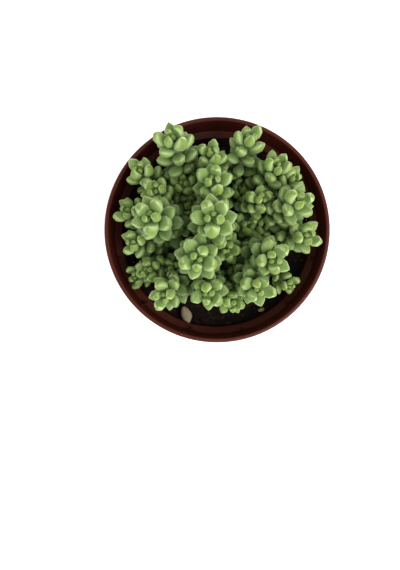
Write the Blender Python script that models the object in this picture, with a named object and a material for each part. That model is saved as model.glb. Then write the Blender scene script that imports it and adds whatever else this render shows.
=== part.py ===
"""Burro's tail: thirty-five stonecrop shoots with plump leaves, rooted in a round brown plastic pot.

Units are metres, +Z is up, and the origin is on the pot's axis at the plane its foot stands on.
"""

import math

import bmesh
import bpy
import numpy as np
from mathutils import Matrix, Vector
from mathutils.bvhtree import BVHTree
from mathutils.geometry import interpolate_bezier
from mathutils.kdtree import KDTree

MM = 0.001

# Pot: a moulded tub with a rolled lip, a collar, a ledge, and a raised base inside its foot ring.
POT_HEIGHT = 106 * MM
RIM_RADIUS = 70 * MM
LIP_WIDTH = 2.6 * MM
LIP_DEPTH = 3.8 * MM
LIP_ROUNDING = 0.7 * MM
COLLAR_DEPTH = 14.5 * MM
COLLAR_DRAFT = 1.4 * MM
WALL = 1.4 * MM
LEDGE_WIDTH = 4.3 * MM
LEDGE_FALL = 1.5 * MM
FOOT_RADIUS = 48 * MM
FOOT_WIDTH = 1.8 * MM
BASE_RISE = 3 * MM
BASE_THICKNESS = 1.6 * MM
POT_STEPS = 48

RIB_COUNT = 12
RIB_FIRST_ANGLE = -75
RIB_WIDTH = 0.9 * MM
RIB_HEIGHT = 6 * MM
RIB_REACH = 2.4 * MM

DRAIN_COUNT = 6
DRAIN_RADIUS = 4.5 * MM
DRAIN_CIRCLE = 33 * MM
DRAIN_SIDES = 12

# Soil: fills the pot to just under the ledge and is mounded in the middle.
GAP = 0.3 * MM
SOIL_EDGE_Z = 88 * MM
SOIL_MOUND = 3 * MM
SOIL_LUMP = 0.5 * MM
SOIL_RINGS = 5

# Stems
ROOT_DEPTH = 14 * MM
ROOT_DRAW = 0.72  # a stem's foot stands this share of its tip's distance from the pot's axis
STEM_FOOT_RADIUS = 2.0 * MM
STEM_TIP_RADIUS = 1.0 * MM
STEM_RINGS = 4
SOCKET_SIDES = 6
SOCKET_RADIUS = (STEM_FOOT_RADIUS + GAP) / math.cos(math.pi / SOCKET_SIDES)

# Leaves
GOLDEN_ANGLE = 137.5
LEAF_WIDTH = 0.60  # shares of a leaf's length
LEAF_THICKNESS = 0.50
YOUNG_BEND = 112  # how much a leaf curves inwards from its foot to its point, in degrees
OPEN_BEND = 38
DROPPED_BEND = 20
LAST_YOUNG_LEAF = 5.5  # how many leaves stand curved over the tip before they open
INTERNODE = 1.5 * MM
FIRST_SOLID_LEAF = 3
SOLID_LEAVES = 12
LOW_SOLID_LEAVES = 8
LOW_RISE = 3 * MM  # shoots whose tips are lower than this above the rim are the low ones
SOLID_SIZES = (0.95, 0.82, 0.7)  # a solid leaf takes the first of these shares that fits
SPREAD_ROUNDS = 40
MOST_TURN = math.radians(32)

# Shoots, in millimetres and degrees: tip x, tip y, tip above the rim, lean outwards, leaf length,
# direction of the first leaf, and the sense of the leaf spiral.
SHOOTS = [
    (-4, 2, 36, 5, 15.0, 75, 1),
    (-12, -20, 33, 10, 14.5, 10, 1),
    (-37.5, 3, 31, 15, 14.5, 90, 1),
    (-3, 24, 26, 12, 13.0, 120, -1),
    (30, -20, 26, 18, 13.5, 220, 1),
    (22, -36, 24, 20, 13.0, 180, 1),
    (45.5, 13, 23, 22, 13.5, 335, 1),
    (-26.5, 48, 23, 26, 14.0, 350, 1),
    (-6, -39, 22, 20, 12.5, 155, -1),
    (-31, -40.5, 19, 22, 12.5, 75, -1),
    (18, 50.5, 17, 28, 12.5, 215, 1),
    (-4.5, 42, 16, 20, 12.0, 105, 1),
    (35, 35, 14, 22, 13.0, 0, 1),
    (25.5, 15.5, 14, 10, 11.5, 345, 1),
    (4, -13, 13, 10, 12.0, 315, -1),
    (-36.5, 21.5, 13, 12, 11.5, 305, 1),
    (52.5, -5, 11, 25, 12.5, 160, -1),
    (8, -45, 11, 25, 11.0, 185, -1),
    (44.5, 30, 7, 28, 11.5, 100, 1),
    (-46.5, 34, 7, 28, 12.0, 315, -1),
    (-20, 27, 7, 8, 11.0, 195, 1),
    (-25, 4, 5, 8, 11.0, 0, -1),
    (-54, 10.5, 5, 28, 12.0, 20, 1),
    (-50.5, -8.5, 5, 28, 12.0, 45, 1),
    (-42, -25, 3, 12, 11.0, 150, -1),
    (19, 3, 0, 5, 11.0, 75, -1),
    (-19, 14, 0, 5, 11.0, 130, -1),
    (14, -25, -2, 8, 11.0, 80, 1),
    (-30, -26, -2, 10, 10.0, 310, -1),
    (45, -34, -2, 22, 9.0, 200, 1),
    (31.5, 3, -4, 8, 10.5, 175, 1),
    (-50, -28.5, -4, 22, 10.5, 305, 1),
    (15, 26, -5, 5, 10.5, 270, 1),
    (19, -12, -6, 5, 10.5, 40, -1),
    (6, -30, -6, 8, 10.5, 10, -1),
]

# Dropped leaves, in millimetres and degrees: x, y, heading of the tip, length.
DROPPED_LEAVES = [
    (-19.5, -53.5, -70, 12.0),
    (29.5, -50.5, 20, 5.0),
]

UP = Vector((0, 0, 1))
LONGEST_LEAF = max(row[4] for row in SHOOTS) * MM


def clear_scene():
    for item in list(bpy.data.objects):
        bpy.data.objects.remove(item)


def make_material(name, colour, roughness):
    material = bpy.data.materials.new(name)
    material.use_nodes = True
    shader = material.node_tree.nodes["Principled BSDF"]
    shader.inputs["Base Color"].default_value = (*colour, 1)
    shader.inputs["Roughness"].default_value = roughness
    shader.inputs["Metallic"].default_value = 0
    return material


def make_object(name, mesh, material=None):
    item = bpy.data.objects.new(name, mesh)
    bpy.context.scene.collection.objects.link(item)
    if material:
        mesh.materials.append(material)
    return item


def mesh_of(shape, name):
    bmesh.ops.recalc_face_normals(shape, faces=shape.faces)
    mesh = bpy.data.meshes.new(name)
    shape.to_mesh(mesh)
    shape.free()
    return mesh


def smooth(mesh, angle=40):
    mesh.shade_smooth()
    mesh.set_sharp_from_angle(angle=math.radians(angle))


def as_guide(item):
    item.hide_render = True
    item.display_type = "WIRE"


def combine(item, other, operation):
    """Cut the other shape from the item, or join it on."""
    as_guide(other)
    change = item.modifiers.new(other.name, "BOOLEAN")
    change.object = other
    change.operation = operation
    change.solver = "EXACT"
    return change


def turned(name, profile, steps):
    """A solid of revolution from (radius, height) points that start and end on the Z axis."""
    shape = bmesh.new()
    points = [shape.verts.new((radius, 0, height)) for radius, height in profile]
    edges = [shape.edges.new(pair) for pair in zip(points, points[1:])]
    bmesh.ops.spin(
        shape, geom=points + edges, cent=(0, 0, 0), axis=UP, angle=math.tau, steps=steps,
        use_merge=True, use_duplicate=False,
    )
    bmesh.ops.remove_doubles(shape, verts=shape.verts, dist=0.01 * MM)
    return mesh_of(shape, name)


# Pot

LEDGE_Z = POT_HEIGHT - COLLAR_DEPTH
COLLAR_TOP_INNER = RIM_RADIUS - LIP_WIDTH
COLLAR_FOOT_INNER = COLLAR_TOP_INNER - COLLAR_DRAFT
BODY_TOP_INNER = COLLAR_FOOT_INNER - LEDGE_WIDTH
BODY_TOP_Z = LEDGE_Z - LEDGE_FALL
BASE_TOP_Z = BASE_RISE + BASE_THICKNESS
BASE_INNER = FOOT_RADIUS - WALL + 0.5 * MM


def body_inner_radius(z):
    """Inner radius of the tapered body at a height."""
    share = (z - BASE_TOP_Z) / (BODY_TOP_Z - BASE_TOP_Z)
    return BASE_INNER + (BODY_TOP_INNER - BASE_INNER) * share


def pot_profile():
    """Radius and height round the wall, from the middle of the floor, over the lip, to under the base."""
    lip_foot = POT_HEIGHT - LIP_DEPTH
    inside = [
        (0, BASE_TOP_Z),
        (BASE_INNER, BASE_TOP_Z),
        (BODY_TOP_INNER, BODY_TOP_Z),
        (COLLAR_FOOT_INNER, LEDGE_Z),
    ]
    outside = [
        (COLLAR_TOP_INNER, POT_HEIGHT - LIP_ROUNDING),
        (COLLAR_TOP_INNER + LIP_ROUNDING, POT_HEIGHT),
        (RIM_RADIUS - LIP_ROUNDING, POT_HEIGHT),
        (RIM_RADIUS, POT_HEIGHT - LIP_ROUNDING),
        (RIM_RADIUS, lip_foot + LIP_ROUNDING),
        (RIM_RADIUS - LIP_ROUNDING, lip_foot),
        (COLLAR_TOP_INNER + WALL, lip_foot),
        (COLLAR_FOOT_INNER + WALL, LEDGE_Z - WALL / 2),
        (COLLAR_FOOT_INNER + WALL / 2, LEDGE_Z - WALL),
        (BODY_TOP_INNER + WALL, BODY_TOP_Z - WALL),
        (FOOT_RADIUS, LIP_ROUNDING),
        (FOOT_RADIUS - LIP_ROUNDING / 2, 0),
        (FOOT_RADIUS - FOOT_WIDTH, 0),
        (FOOT_RADIUS - FOOT_WIDTH, BASE_RISE),
        (0, BASE_RISE),
    ]
    return inside + outside


def rib_shapes():
    """Short gussets that stiffen the ledge, standing in the corner between it and the collar."""
    shape = bmesh.new()
    wall = COLLAR_FOOT_INNER + WALL / 2
    front = COLLAR_FOOT_INNER - RIB_REACH
    outline = [
        (wall, LEDGE_Z - WALL / 2),
        (wall, LEDGE_Z + RIB_HEIGHT),
        (COLLAR_FOOT_INNER, LEDGE_Z + RIB_HEIGHT),
        (front, LEDGE_Z),
        (front, LEDGE_Z - WALL),
    ]
    for number in range(RIB_COUNT):
        angle = math.radians(RIB_FIRST_ANGLE + 360 / RIB_COUNT * number)
        points = [shape.verts.new((radius, -RIB_WIDTH / 2, z)) for radius, z in outline]
        face = shape.faces.new(points)
        moved = bmesh.ops.extrude_face_region(shape, geom=[face])["geom"]
        corners = [element for element in moved if isinstance(element, bmesh.types.BMVert)]
        bmesh.ops.translate(shape, verts=corners, vec=(0, RIB_WIDTH, 0))
        turn = Matrix.Rotation(angle, 3, "Z")
        bmesh.ops.rotate(shape, verts=points + corners, cent=(0, 0, 0), matrix=turn)
    return mesh_of(shape, "pot_ribs")


def cylinders(name, places, radius, bottom, top, sides):
    """Upright cylinders at the given (x, y) places."""
    shape = bmesh.new()
    for x, y in places:
        middle = Matrix.Translation((x, y, (bottom + top) / 2))
        bmesh.ops.create_cone(
            shape, cap_ends=True, segments=sides, radius1=radius, radius2=radius,
            depth=top - bottom, matrix=middle,
        )
    return mesh_of(shape, name)


def build_pot():
    material = make_material("brown_plastic", (0.12, 0.045, 0.032), 0.42)
    pot = make_object("pot", turned("pot", pot_profile(), POT_STEPS), material)
    smooth(pot.data, 30)
    angles = [math.tau * number / DRAIN_COUNT for number in range(DRAIN_COUNT)]
    places = [(DRAIN_CIRCLE * math.cos(angle), DRAIN_CIRCLE * math.sin(angle)) for angle in angles]
    holes = cylinders("drain_holes", places, DRAIN_RADIUS, BASE_RISE / 2, 2 * BASE_TOP_Z, DRAIN_SIDES)
    combine(pot, make_object("pot_ribs", rib_shapes()), "UNION")
    combine(pot, make_object("drain_holes", holes), "DIFFERENCE")


# Soil

SOIL_EDGE_RADIUS = body_inner_radius(SOIL_EDGE_Z) - GAP


def soil_height(x, y):
    """Height of the soil's surface: a mound with a few broad, low lumps."""
    share = min(1, math.hypot(x, y) / SOIL_EDGE_RADIUS)
    lumps = math.sin(x * 190 + 1.3) * math.cos(y * 160 - 0.7)
    return SOIL_EDGE_Z + SOIL_MOUND * (1 - share ** 2) + SOIL_LUMP * lumps * (1 - share ** 4)


def build_soil(shoots):
    material = make_material("potting_soil", (0.022, 0.016, 0.013), 0.95)
    bottom = BASE_TOP_Z + GAP
    top = [(SOIL_EDGE_RADIUS * ring / SOIL_RINGS, SOIL_EDGE_Z) for ring in range(SOIL_RINGS + 1)]
    profile = [(0, bottom), (body_inner_radius(bottom) - GAP, bottom)] + top[::-1]
    mesh = turned("soil", profile, POT_STEPS)
    for vertex in mesh.vertices:
        if vertex.co.z > SOIL_EDGE_Z - GAP:
            vertex.co.z = soil_height(vertex.co.x, vertex.co.y)
    soil = make_object("soil", mesh, material)
    smooth(mesh, 50)
    places = [shoot.foot.xy for shoot in shoots]
    floor = SOIL_EDGE_Z - ROOT_DEPTH - GAP
    sockets = cylinders("root_sockets", places, SOCKET_RADIUS, floor, POT_HEIGHT, SOCKET_SIDES)
    combine(soil, make_object("root_sockets", sockets), "DIFFERENCE")


# Shoots

class Shoot:
    """A stem's centre line, from its foot in the soil to its growing tip."""

    def __init__(self, number, x, y, rise, lean, leaf, phase, sense):
        self.number = number
        self.name = f"shoot_{number:02d}"
        self.leaf = leaf * MM
        self.phase = phase
        self.sense = sense
        self.rise = rise * MM
        tip = Vector((x * MM, y * MM, POT_HEIGHT + self.rise))
        away = Vector((x, y, 0)).normalized()
        heading = away * math.sin(math.radians(lean)) + UP * math.cos(math.radians(lean))
        ground = Vector((tip.x * ROOT_DRAW, tip.y * ROOT_DRAW, 0))
        ground.z = soil_height(ground.x, ground.y) + GAP
        self.foot = Vector((ground.x, ground.y, SOIL_EDGE_Z - ROOT_DEPTH))
        reach = (tip - ground).length
        curve = interpolate_bezier(
            ground, ground + UP * reach * 0.35, tip - heading * reach * 0.4, tip, 25
        )
        self.line = [Vector(point) for point in curve]
        steps = [(b - a).length for a, b in zip(self.line, self.line[1:])]
        self.marks = [0.0, *np.cumsum(steps)]
        self.length = self.marks[-1]

    def place(self, below_tip):
        """The point and the direction of the stem this far below its tip."""
        mark = max(0.0, self.length - below_tip)
        index = min(int(np.searchsorted(self.marks, mark, side="right")) - 1, len(self.line) - 2)
        start, end = self.line[index], self.line[index + 1]
        share = (mark - self.marks[index]) / (self.marks[index + 1] - self.marks[index])
        return start.lerp(end, share), (end - start).normalized()

    def radius(self, below_tip):
        share = min(1, below_tip / self.length)
        return STEM_TIP_RADIUS + (STEM_FOOT_RADIUS - STEM_TIP_RADIUS) * share


class Leaf:
    """One leaf: where it springs from, which way it points, its length and its number from the tip."""

    def __init__(self, shoot, number, below_tip):
        self.shoot = shoot
        self.number = number
        point, along = shoot.place(below_tip)
        side = (Vector((1, 0, 0)) - along * along.x).normalized()
        angle = math.radians(shoot.phase + shoot.sense * GOLDEN_ANGLE * number)
        out = side * math.cos(angle) + along.cross(side) * math.sin(angle)
        open_by = math.radians(4 + 68 * (1 - math.exp(-(number / 7.5) ** 1.6)))
        self.base = point + out * shoot.radius(below_tip) * 0.5
        self.toward = (out * math.sin(open_by) + along * math.cos(open_by)).normalized()
        self.inner = along
        self.length = shoot.leaf * min(1, 0.36 + 0.16 * number)
        young = 1 / (1 + math.exp(1.5 * (number - LAST_YOUNG_LEAF)))
        self.bend = math.radians(OPEN_BEND + (YOUNG_BEND - OPEN_BEND) * young)
        self.size = 1.0

    def matrix(self):
        return leaf_matrix(self.base, self.toward, self.inner, self.length * self.size)


def leaves_of(shoot):
    """Every leaf of a shoot, from its tip down: they crowd at the tip and spread out below it."""
    leaves = []
    below_tip = 0.0
    number = 0
    while below_tip < shoot.length - INTERNODE:
        leaves.append(Leaf(shoot, number, below_tip))
        below_tip += INTERNODE * min(1, 0.3 + 0.12 * number)
        number += 1
    return leaves


def bent_centre(along, bend):
    """How far a bent leaf's middle line lies to the inner side of its chord, and how far up it."""
    heading = bend * (along - 0.5)
    return np.array((np.cos(bend / 2) - np.cos(heading), np.sin(heading) + np.sin(bend / 2))) / bend


BALLS = ((0.48, 0.25), (0.78, 0.24))  # where on a leaf, and how big, as shares of its length


def free_radius(z):
    """How far from the axis a leaf may reach at these heights: the wall below the rim, the lip above."""
    return np.where(z < POT_HEIGHT + 2 * MM, COLLAR_FOOT_INNER - GAP, RIM_RADIUS - 4 * GAP)


def spread_leaves(leaves):
    """Turn each leaf about its base until it hardly presses on its neighbours, the pot or the soil."""
    base = np.array([leaf.base for leaf in leaves])
    rest = np.array([leaf.toward for leaf in leaves])
    inner = np.array([leaf.inner for leaf in leaves])
    bend = np.array([leaf.bend for leaf in leaves])
    length = np.array([leaf.length for leaf in leaves])
    owner = np.array([leaf.shoot.number for leaf in leaves])
    toward = rest.copy()
    count = len(leaves)
    share = np.repeat([ball[0] for ball in BALLS], count)
    radius = np.concatenate([length * ball[1] for ball in BALLS])
    which = np.tile(np.arange(count), len(BALLS))
    offset, arm = bent_centre(share, bend[which]) * length[which]
    for turn in range(SPREAD_ROUNDS):
        side = inner - toward * np.sum(inner * toward, axis=1)[:, None]
        side /= np.linalg.norm(side, axis=1)[:, None]
        centre = base[which] + toward[which] * arm[:, None] + side[which] * offset[:, None]
        if turn % 8 == 0:
            pairs = near_pairs(centre, which, 2 * radius.max())
        first, second = pairs
        apart = centre[first] - centre[second]
        distance = np.linalg.norm(apart, axis=1) + 1e-9
        same = owner[which[first]] == owner[which[second]]
        press = np.clip(radius[first] + radius[second] - distance, 0, None) * np.where(same, 0.12, 0.5)
        shove = apart / distance[:, None] * press[:, None]
        push = np.zeros_like(centre)
        np.add.at(push, first, shove)
        np.add.at(push, second, -shove)
        flat = np.linalg.norm(centre[:, :2], axis=1)
        over = np.clip(flat + radius - free_radius(centre[:, 2]), 0, None)
        push[:, :2] -= centre[:, :2] / flat[:, None] * over[:, None]
        floor = SOIL_EDGE_Z + SOIL_MOUND * (1 - np.clip(flat / SOIL_EDGE_RADIUS, 0, 1) ** 2)
        push[:, 2] += np.clip(floor + radius + SOIL_LUMP - centre[:, 2], 0, None)
        turned_by = np.zeros_like(toward)
        np.add.at(turned_by, which, push / arm[:, None])
        toward += turned_by * 0.5
        toward /= np.linalg.norm(toward, axis=1)[:, None]
        toward = limit_turn(toward, rest)
    for leaf, direction in zip(leaves, toward):
        leaf.toward = Vector(direction)


def near_pairs(centre, which, reach):
    """Index pairs of balls on different leaves that are close enough to touch."""
    tree = KDTree(len(centre))
    for index, point in enumerate(centre):
        tree.insert(point, index)
    tree.balance()
    pairs = [
        (index, other)
        for index, point in enumerate(centre)
        for _, other, _ in tree.find_range(point, reach)
        if other > index and which[other] != which[index]
    ]
    return np.array(pairs).T


def limit_turn(toward, rest):
    """Bring back each direction that has turned more than MOST_TURN from where the leaf grew."""
    cosine = np.clip(np.sum(toward * rest, axis=1), -1, 1)
    angle = np.arccos(cosine)
    across = toward - rest * cosine[:, None]
    across /= np.linalg.norm(across, axis=1)[:, None] + 1e-9
    held = np.minimum(angle, MOST_TURN)
    return rest * np.cos(held)[:, None] + across * np.sin(held)[:, None]


def leaf_matrix(base, toward, inner, length):
    """Takes a leaf of length 1, which points along +Z with its inner side at +Y, to its place."""
    flat = (inner - toward * inner.dot(toward)).normalized()
    turn = Matrix((flat.cross(toward), flat, toward)).transposed().to_4x4()
    return Matrix.Translation(base) @ turn @ Matrix.Scale(length, 4)


def add_leaf(shape, matrix, bend):
    """A plump faceted leaf: a bent, stretched icosahedron whose fullest part is beyond its middle."""
    made = bmesh.ops.create_icosphere(shape, subdivisions=1, radius=0.5)["verts"]
    for vertex in made:
        along = vertex.co.z + 0.5
        taper = 1.1 if along > 0.5 else 0.8
        across = vertex.co.x * LEAF_WIDTH * taper
        depth = vertex.co.y * LEAF_THICKNESS * taper
        heading = bend * (along - 0.5)
        offset, rise = bent_centre(along, bend)
        vertex.co = (across, offset + depth * math.cos(heading), rise - depth * math.sin(heading))
    bmesh.ops.transform(shape, matrix=matrix, verts=made)


def tree_of_leaf(leaf, margin):
    """A search tree of a leaf's surface, swollen by the margin."""
    shape = bmesh.new()
    add_leaf(shape, leaf.matrix(), leaf.bend)
    middle = sum((vertex.co for vertex in shape.verts), Vector()) / len(shape.verts)
    for vertex in shape.verts:
        vertex.co += (vertex.co - middle).normalized() * margin
    tree = BVHTree.FromBMesh(shape)
    shape.free()
    return tree


def stem_mesh(shoot):
    """The stem as a tapered tube with closed ends, straight in the soil and bent above it."""
    curve = bpy.data.curves.new(shoot.name + "_stem", "CURVE")
    curve.dimensions = "3D"
    curve.bevel_depth = 1.0
    curve.bevel_resolution = 1
    curve.use_fill_caps = True
    distances = [shoot.length * (1 - ring / STEM_RINGS) for ring in range(STEM_RINGS + 1)]
    points = [(shoot.foot, STEM_FOOT_RADIUS)]
    points += [(shoot.place(below)[0], shoot.radius(below)) for below in distances]
    line = curve.splines.new("POLY")
    line.points.add(len(points) - 1)
    for target, (point, radius) in zip(line.points, points):
        target.co = (*point, 1)
        target.radius = radius
    item = make_object(curve.name, curve)
    graph = bpy.context.evaluated_depsgraph_get()
    mesh = bpy.data.meshes.new_from_object(item.evaluated_get(graph))
    bpy.data.objects.remove(item)
    shape = bmesh.new()
    shape.from_mesh(mesh)
    bmesh.ops.remove_doubles(shape, verts=shape.verts, dist=0.01 * MM)
    return mesh_of(shape, shoot.name)


def fit_leaves(leaves, stems, pot_tree):
    """The leaves that fit, each at the largest size that meets no other shoot's leaf or stem and no pot."""
    kept = []
    for leaf in leaves:
        obstacles = [pot_tree] + [tree for owner, tree in stems if owner is not leaf.shoot]
        obstacles += [
            tree for other, tree in kept
            if other.shoot is not leaf.shoot and (other.base - leaf.base).length < 2 * LONGEST_LEAF
        ]
        for leaf.size in SOLID_SIZES:
            tree = tree_of_leaf(leaf, GAP / 2)
            if not any(tree.overlap(obstacle) for obstacle in obstacles):
                kept.append((leaf, tree))
                break
    return [leaf for leaf, _ in kept]


def tree_of_mesh(mesh):
    shape = bmesh.new()
    shape.from_mesh(mesh)
    tree = BVHTree.FromBMesh(shape)
    shape.free()
    return tree


def build_shoots(shoots):
    material = make_material("succulent_leaf", (0.30, 0.42, 0.20), 0.55)
    every = [leaf for shoot in shoots for leaf in leaves_of(shoot)]
    spread_leaves(every)
    stems = {shoot.name: stem_mesh(shoot) for shoot in shoots}
    chosen = [
        leaf for leaf in every
        if FIRST_SOLID_LEAF <= leaf.number < FIRST_SOLID_LEAF + solid_leaf_count(leaf.shoot)
    ]
    chosen.sort(key=lambda leaf: (leaf.number, leaf.shoot.number))
    stem_trees = [(shoot, tree_of_mesh(stems[shoot.name])) for shoot in shoots]
    kept = fit_leaves(chosen, stem_trees, tree_of_mesh(turned("pot_wall", pot_profile(), POT_STEPS)))
    for shoot in shoots:
        shape = bmesh.new()
        for leaf in kept:
            if leaf.shoot is shoot:
                add_leaf(shape, leaf.matrix(), leaf.bend)
        leaves = make_object(shoot.name + "_leaves", mesh_of(shape, shoot.name + "_leaves"))
        stem = make_object(shoot.name, stems[shoot.name], material)
        join = combine(stem, leaves, "UNION")
        join.use_self = True


def solid_leaf_count(shoot):
    return SOLID_LEAVES if shoot.rise > LOW_RISE else LOW_SOLID_LEAVES


# Dropped leaves

def build_dropped_leaves():
    material = make_material("dry_leaf", (0.45, 0.36, 0.28), 0.7)
    for number, (x, y, heading, length) in enumerate(DROPPED_LEAVES, start=1):
        angle = math.radians(heading)
        toward = Vector((math.cos(angle), math.sin(angle), 0))
        base = Vector((x, y, 0)) * MM - toward * length * MM / 2
        base.z = soil_height(*base.xy) + length * MM * LEAF_THICKNESS / 2 + GAP
        shape = bmesh.new()
        add_leaf(shape, leaf_matrix(base, toward, UP, length * MM), math.radians(DROPPED_BEND))
        mesh = mesh_of(shape, f"dropped_leaf_{number}")
        make_object(mesh.name, mesh, material)


def main():
    clear_scene()
    shoots = [Shoot(number, *values) for number, values in enumerate(SHOOTS, start=1)]
    build_pot()
    build_soil(shoots)
    build_shoots(shoots)
    build_dropped_leaves()


main()
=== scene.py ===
import math
import random

import bmesh
import bpy
import numpy as np
from mathutils import Matrix, Vector, noise
from mathutils.geometry import interpolate_bezier
from mathutils.kdtree import KDTree


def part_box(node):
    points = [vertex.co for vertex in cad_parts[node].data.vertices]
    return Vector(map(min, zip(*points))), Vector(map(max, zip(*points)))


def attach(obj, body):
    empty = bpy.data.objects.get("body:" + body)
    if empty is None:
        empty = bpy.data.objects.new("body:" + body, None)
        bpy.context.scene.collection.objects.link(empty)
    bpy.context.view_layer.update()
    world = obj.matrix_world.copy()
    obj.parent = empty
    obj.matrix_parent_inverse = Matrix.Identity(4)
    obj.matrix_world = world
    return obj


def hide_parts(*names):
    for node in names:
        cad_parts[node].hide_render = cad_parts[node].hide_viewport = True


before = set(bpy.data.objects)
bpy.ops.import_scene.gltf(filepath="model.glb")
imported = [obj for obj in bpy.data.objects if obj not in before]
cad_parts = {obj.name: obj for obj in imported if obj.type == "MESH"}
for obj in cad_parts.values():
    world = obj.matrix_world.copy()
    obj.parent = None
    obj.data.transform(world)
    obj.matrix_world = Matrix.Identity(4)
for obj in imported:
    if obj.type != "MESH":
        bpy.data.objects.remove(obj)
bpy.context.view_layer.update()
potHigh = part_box("pot")[1]

mm = 0.001
up = Vector((0, 0, 1))
print("frame loaded with", len(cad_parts), "nodes")


# small helpers for materials: a pattern's Scale is 1 over the real size of its cells

def linear(hexColour):
    channels = [int(hexColour[i:i + 2], 16) / 255 for i in (1, 3, 5)]
    return [c / 12.92 if c <= 0.04045 else ((c + 0.055) / 1.055) ** 2.4 for c in channels] + [1]


def newMaterial(name):
    material = bpy.data.materials.new(name)
    material.use_nodes = True
    return material, material.node_tree, material.node_tree.nodes["Principled BSDF"]


def addNode(tree, kind, sockets=None, **settings):
    # sockets maps an input's name or number to a value, or to the output that feeds it
    node = tree.nodes.new(kind)
    for name, value in settings.items():
        setattr(node, name, value)
    for key, value in (sockets or {}).items():
        if isinstance(value, bpy.types.NodeSocket):
            tree.links.new(value, node.inputs[key])
        else:
            node.inputs[key].default_value = value
    return node


def setShader(tree, shader, **sockets):
    # base_color=... sets or feeds the socket Base Color, and ior=... sets IOR
    for name, value in sockets.items():
        key = name.replace("_", " ").title().replace("Ior", "IOR")
        if isinstance(value, bpy.types.NodeSocket):
            tree.links.new(value, shader.inputs[key])
        else:
            shader.inputs[key].default_value = value


# small helpers for meshes

def finishPiece(name, mesh, material, node, sharpAngle=180):
    mesh.name = name
    mesh.materials.clear()
    mesh.materials.append(material)
    mesh.shade_smooth()
    if sharpAngle < 180:
        mesh.set_sharp_from_angle(angle=math.radians(sharpAngle))
    piece = bpy.data.objects.new(name, mesh)
    bpy.context.scene.collection.objects.link(piece)
    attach(piece, "root")
    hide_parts(node)


def meshOf(shape, name):
    mesh = bpy.data.meshes.new(name)
    shape.to_mesh(mesh)
    shape.free()
    return mesh


def spun(profile, steps):
    # turns (radius, height) points that start and end on the axis into a closed solid
    shape = bmesh.new()
    points = [shape.verts.new((radius, 0, z)) for radius, z in profile]
    edges = [shape.edges.new(pair) for pair in zip(points, points[1:])]
    bmesh.ops.spin(
        shape, geom=points + edges, cent=(0, 0, 0), axis=up, angle=math.tau, steps=steps,
        use_merge=True, use_duplicate=False,
    )
    bmesh.ops.remove_doubles(shape, verts=shape.verts, dist=0.005 * mm)
    bmesh.ops.recalc_face_normals(shape, faces=shape.faces)
    return shape


def rounded(corners, segments=5):
    # replaces each (x, y, radius) corner of an outline by an arc of that radius
    points = []
    for index, (x, y, radius) in enumerate(corners):
        corner = Vector((x, y))
        if radius == 0 or index in (0, len(corners) - 1):
            points.append(corner)
            continue
        before = (Vector(corners[index - 1][:2]) - corner).normalized()
        after = (Vector(corners[index + 1][:2]) - corner).normalized()
        half = before.angle(after) / 2
        reach = radius / math.tan(half)
        middle = corner + (before + after).normalized() * radius / math.sin(half)
        start = corner + before * reach - middle
        turn = (corner + after * reach - middle).angle_signed(start)
        for step in range(segments + 1):
            arm = start.copy()
            arm.rotate(Matrix.Rotation(turn * step / segments, 2))
            points.append(middle + arm)
    return [tuple(point) for point in points]


# the pot: a moulded tub with a rolled lip, a collar, a ledge stiffened by gussets, and a raised base

pot = {
    "height": potHigh.z,
    "rimRadius": potHigh.x,
    "lipWidth": 2.6 * mm,
    "lipDepth": 3.8 * mm,
    "collarDepth": 14.5 * mm,
    "collarDraft": 1.4 * mm,
    "wall": 1.4 * mm,
    "ledgeWidth": 4.3 * mm,
    "ledgeFall": 1.5 * mm,
    "footRadius": 48 * mm,
    "footWidth": 1.8 * mm,
    "baseRise": 3 * mm,
    "baseThickness": 1.6 * mm,
    "ribs": 12,
    "ribFirstAngle": -75,
    "ribWidth": 0.9 * mm,
    "ribHeight": 6 * mm,
    "ribReach": 2.4 * mm,
    "drainHoles": 6,
    "drainRadius": 4.5 * mm,
    "drainCircle": 33 * mm,
    "baseTaper": 0.5 * mm,     # what the taper adds to the inside radius at the floor
    "steps": 192,
    "sharpAngle": 35,
    "plastic": "#4E2219",
    "wornPlastic": "#5E2C22",
    "dust": "#7A5A4A",
}
ledgeZ = pot["height"] - pot["collarDepth"]
collarTopInner = pot["rimRadius"] - pot["lipWidth"]
collarFootInner = collarTopInner - pot["collarDraft"]
bodyTopInner = collarFootInner - pot["ledgeWidth"]
bodyTopZ = ledgeZ - pot["ledgeFall"]
baseTopZ = pot["baseRise"] + pot["baseThickness"]
baseInner = pot["footRadius"] - pot["wall"] + pot["baseTaper"]


def bodyInnerRadius(z):
    share = (z - baseTopZ) / (bodyTopZ - baseTopZ)
    return baseInner + (bodyTopInner - baseInner) * share


def potOutline():
    # from the middle of the floor, up the inside, over the lip, and down to under the base
    top, rim, wall = pot["height"], pot["rimRadius"], pot["wall"]
    lipFoot = top - pot["lipDepth"]
    footInner = pot["footRadius"] - pot["footWidth"]
    return rounded([
        (0, baseTopZ, 0),
        (baseInner, baseTopZ, 2 * mm),
        (bodyTopInner, bodyTopZ, 0.5 * mm),
        (collarFootInner, ledgeZ, 0.5 * mm),
        (collarTopInner, top, 0.8 * mm),
        (rim, top, 1.2 * mm),
        (rim, lipFoot, 0.7 * mm),
        (collarTopInner + wall, lipFoot, 0.3 * mm),
        (collarFootInner + wall, ledgeZ - wall, 0.8 * mm),
        (bodyTopInner + wall, bodyTopZ - wall, 0.6 * mm),
        (pot["footRadius"], 0, 0.5 * mm),
        (footInner, 0, 0.3 * mm),
        (footInner, pot["baseRise"], 0.4 * mm),
        (0, pot["baseRise"], 0),
    ])


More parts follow.
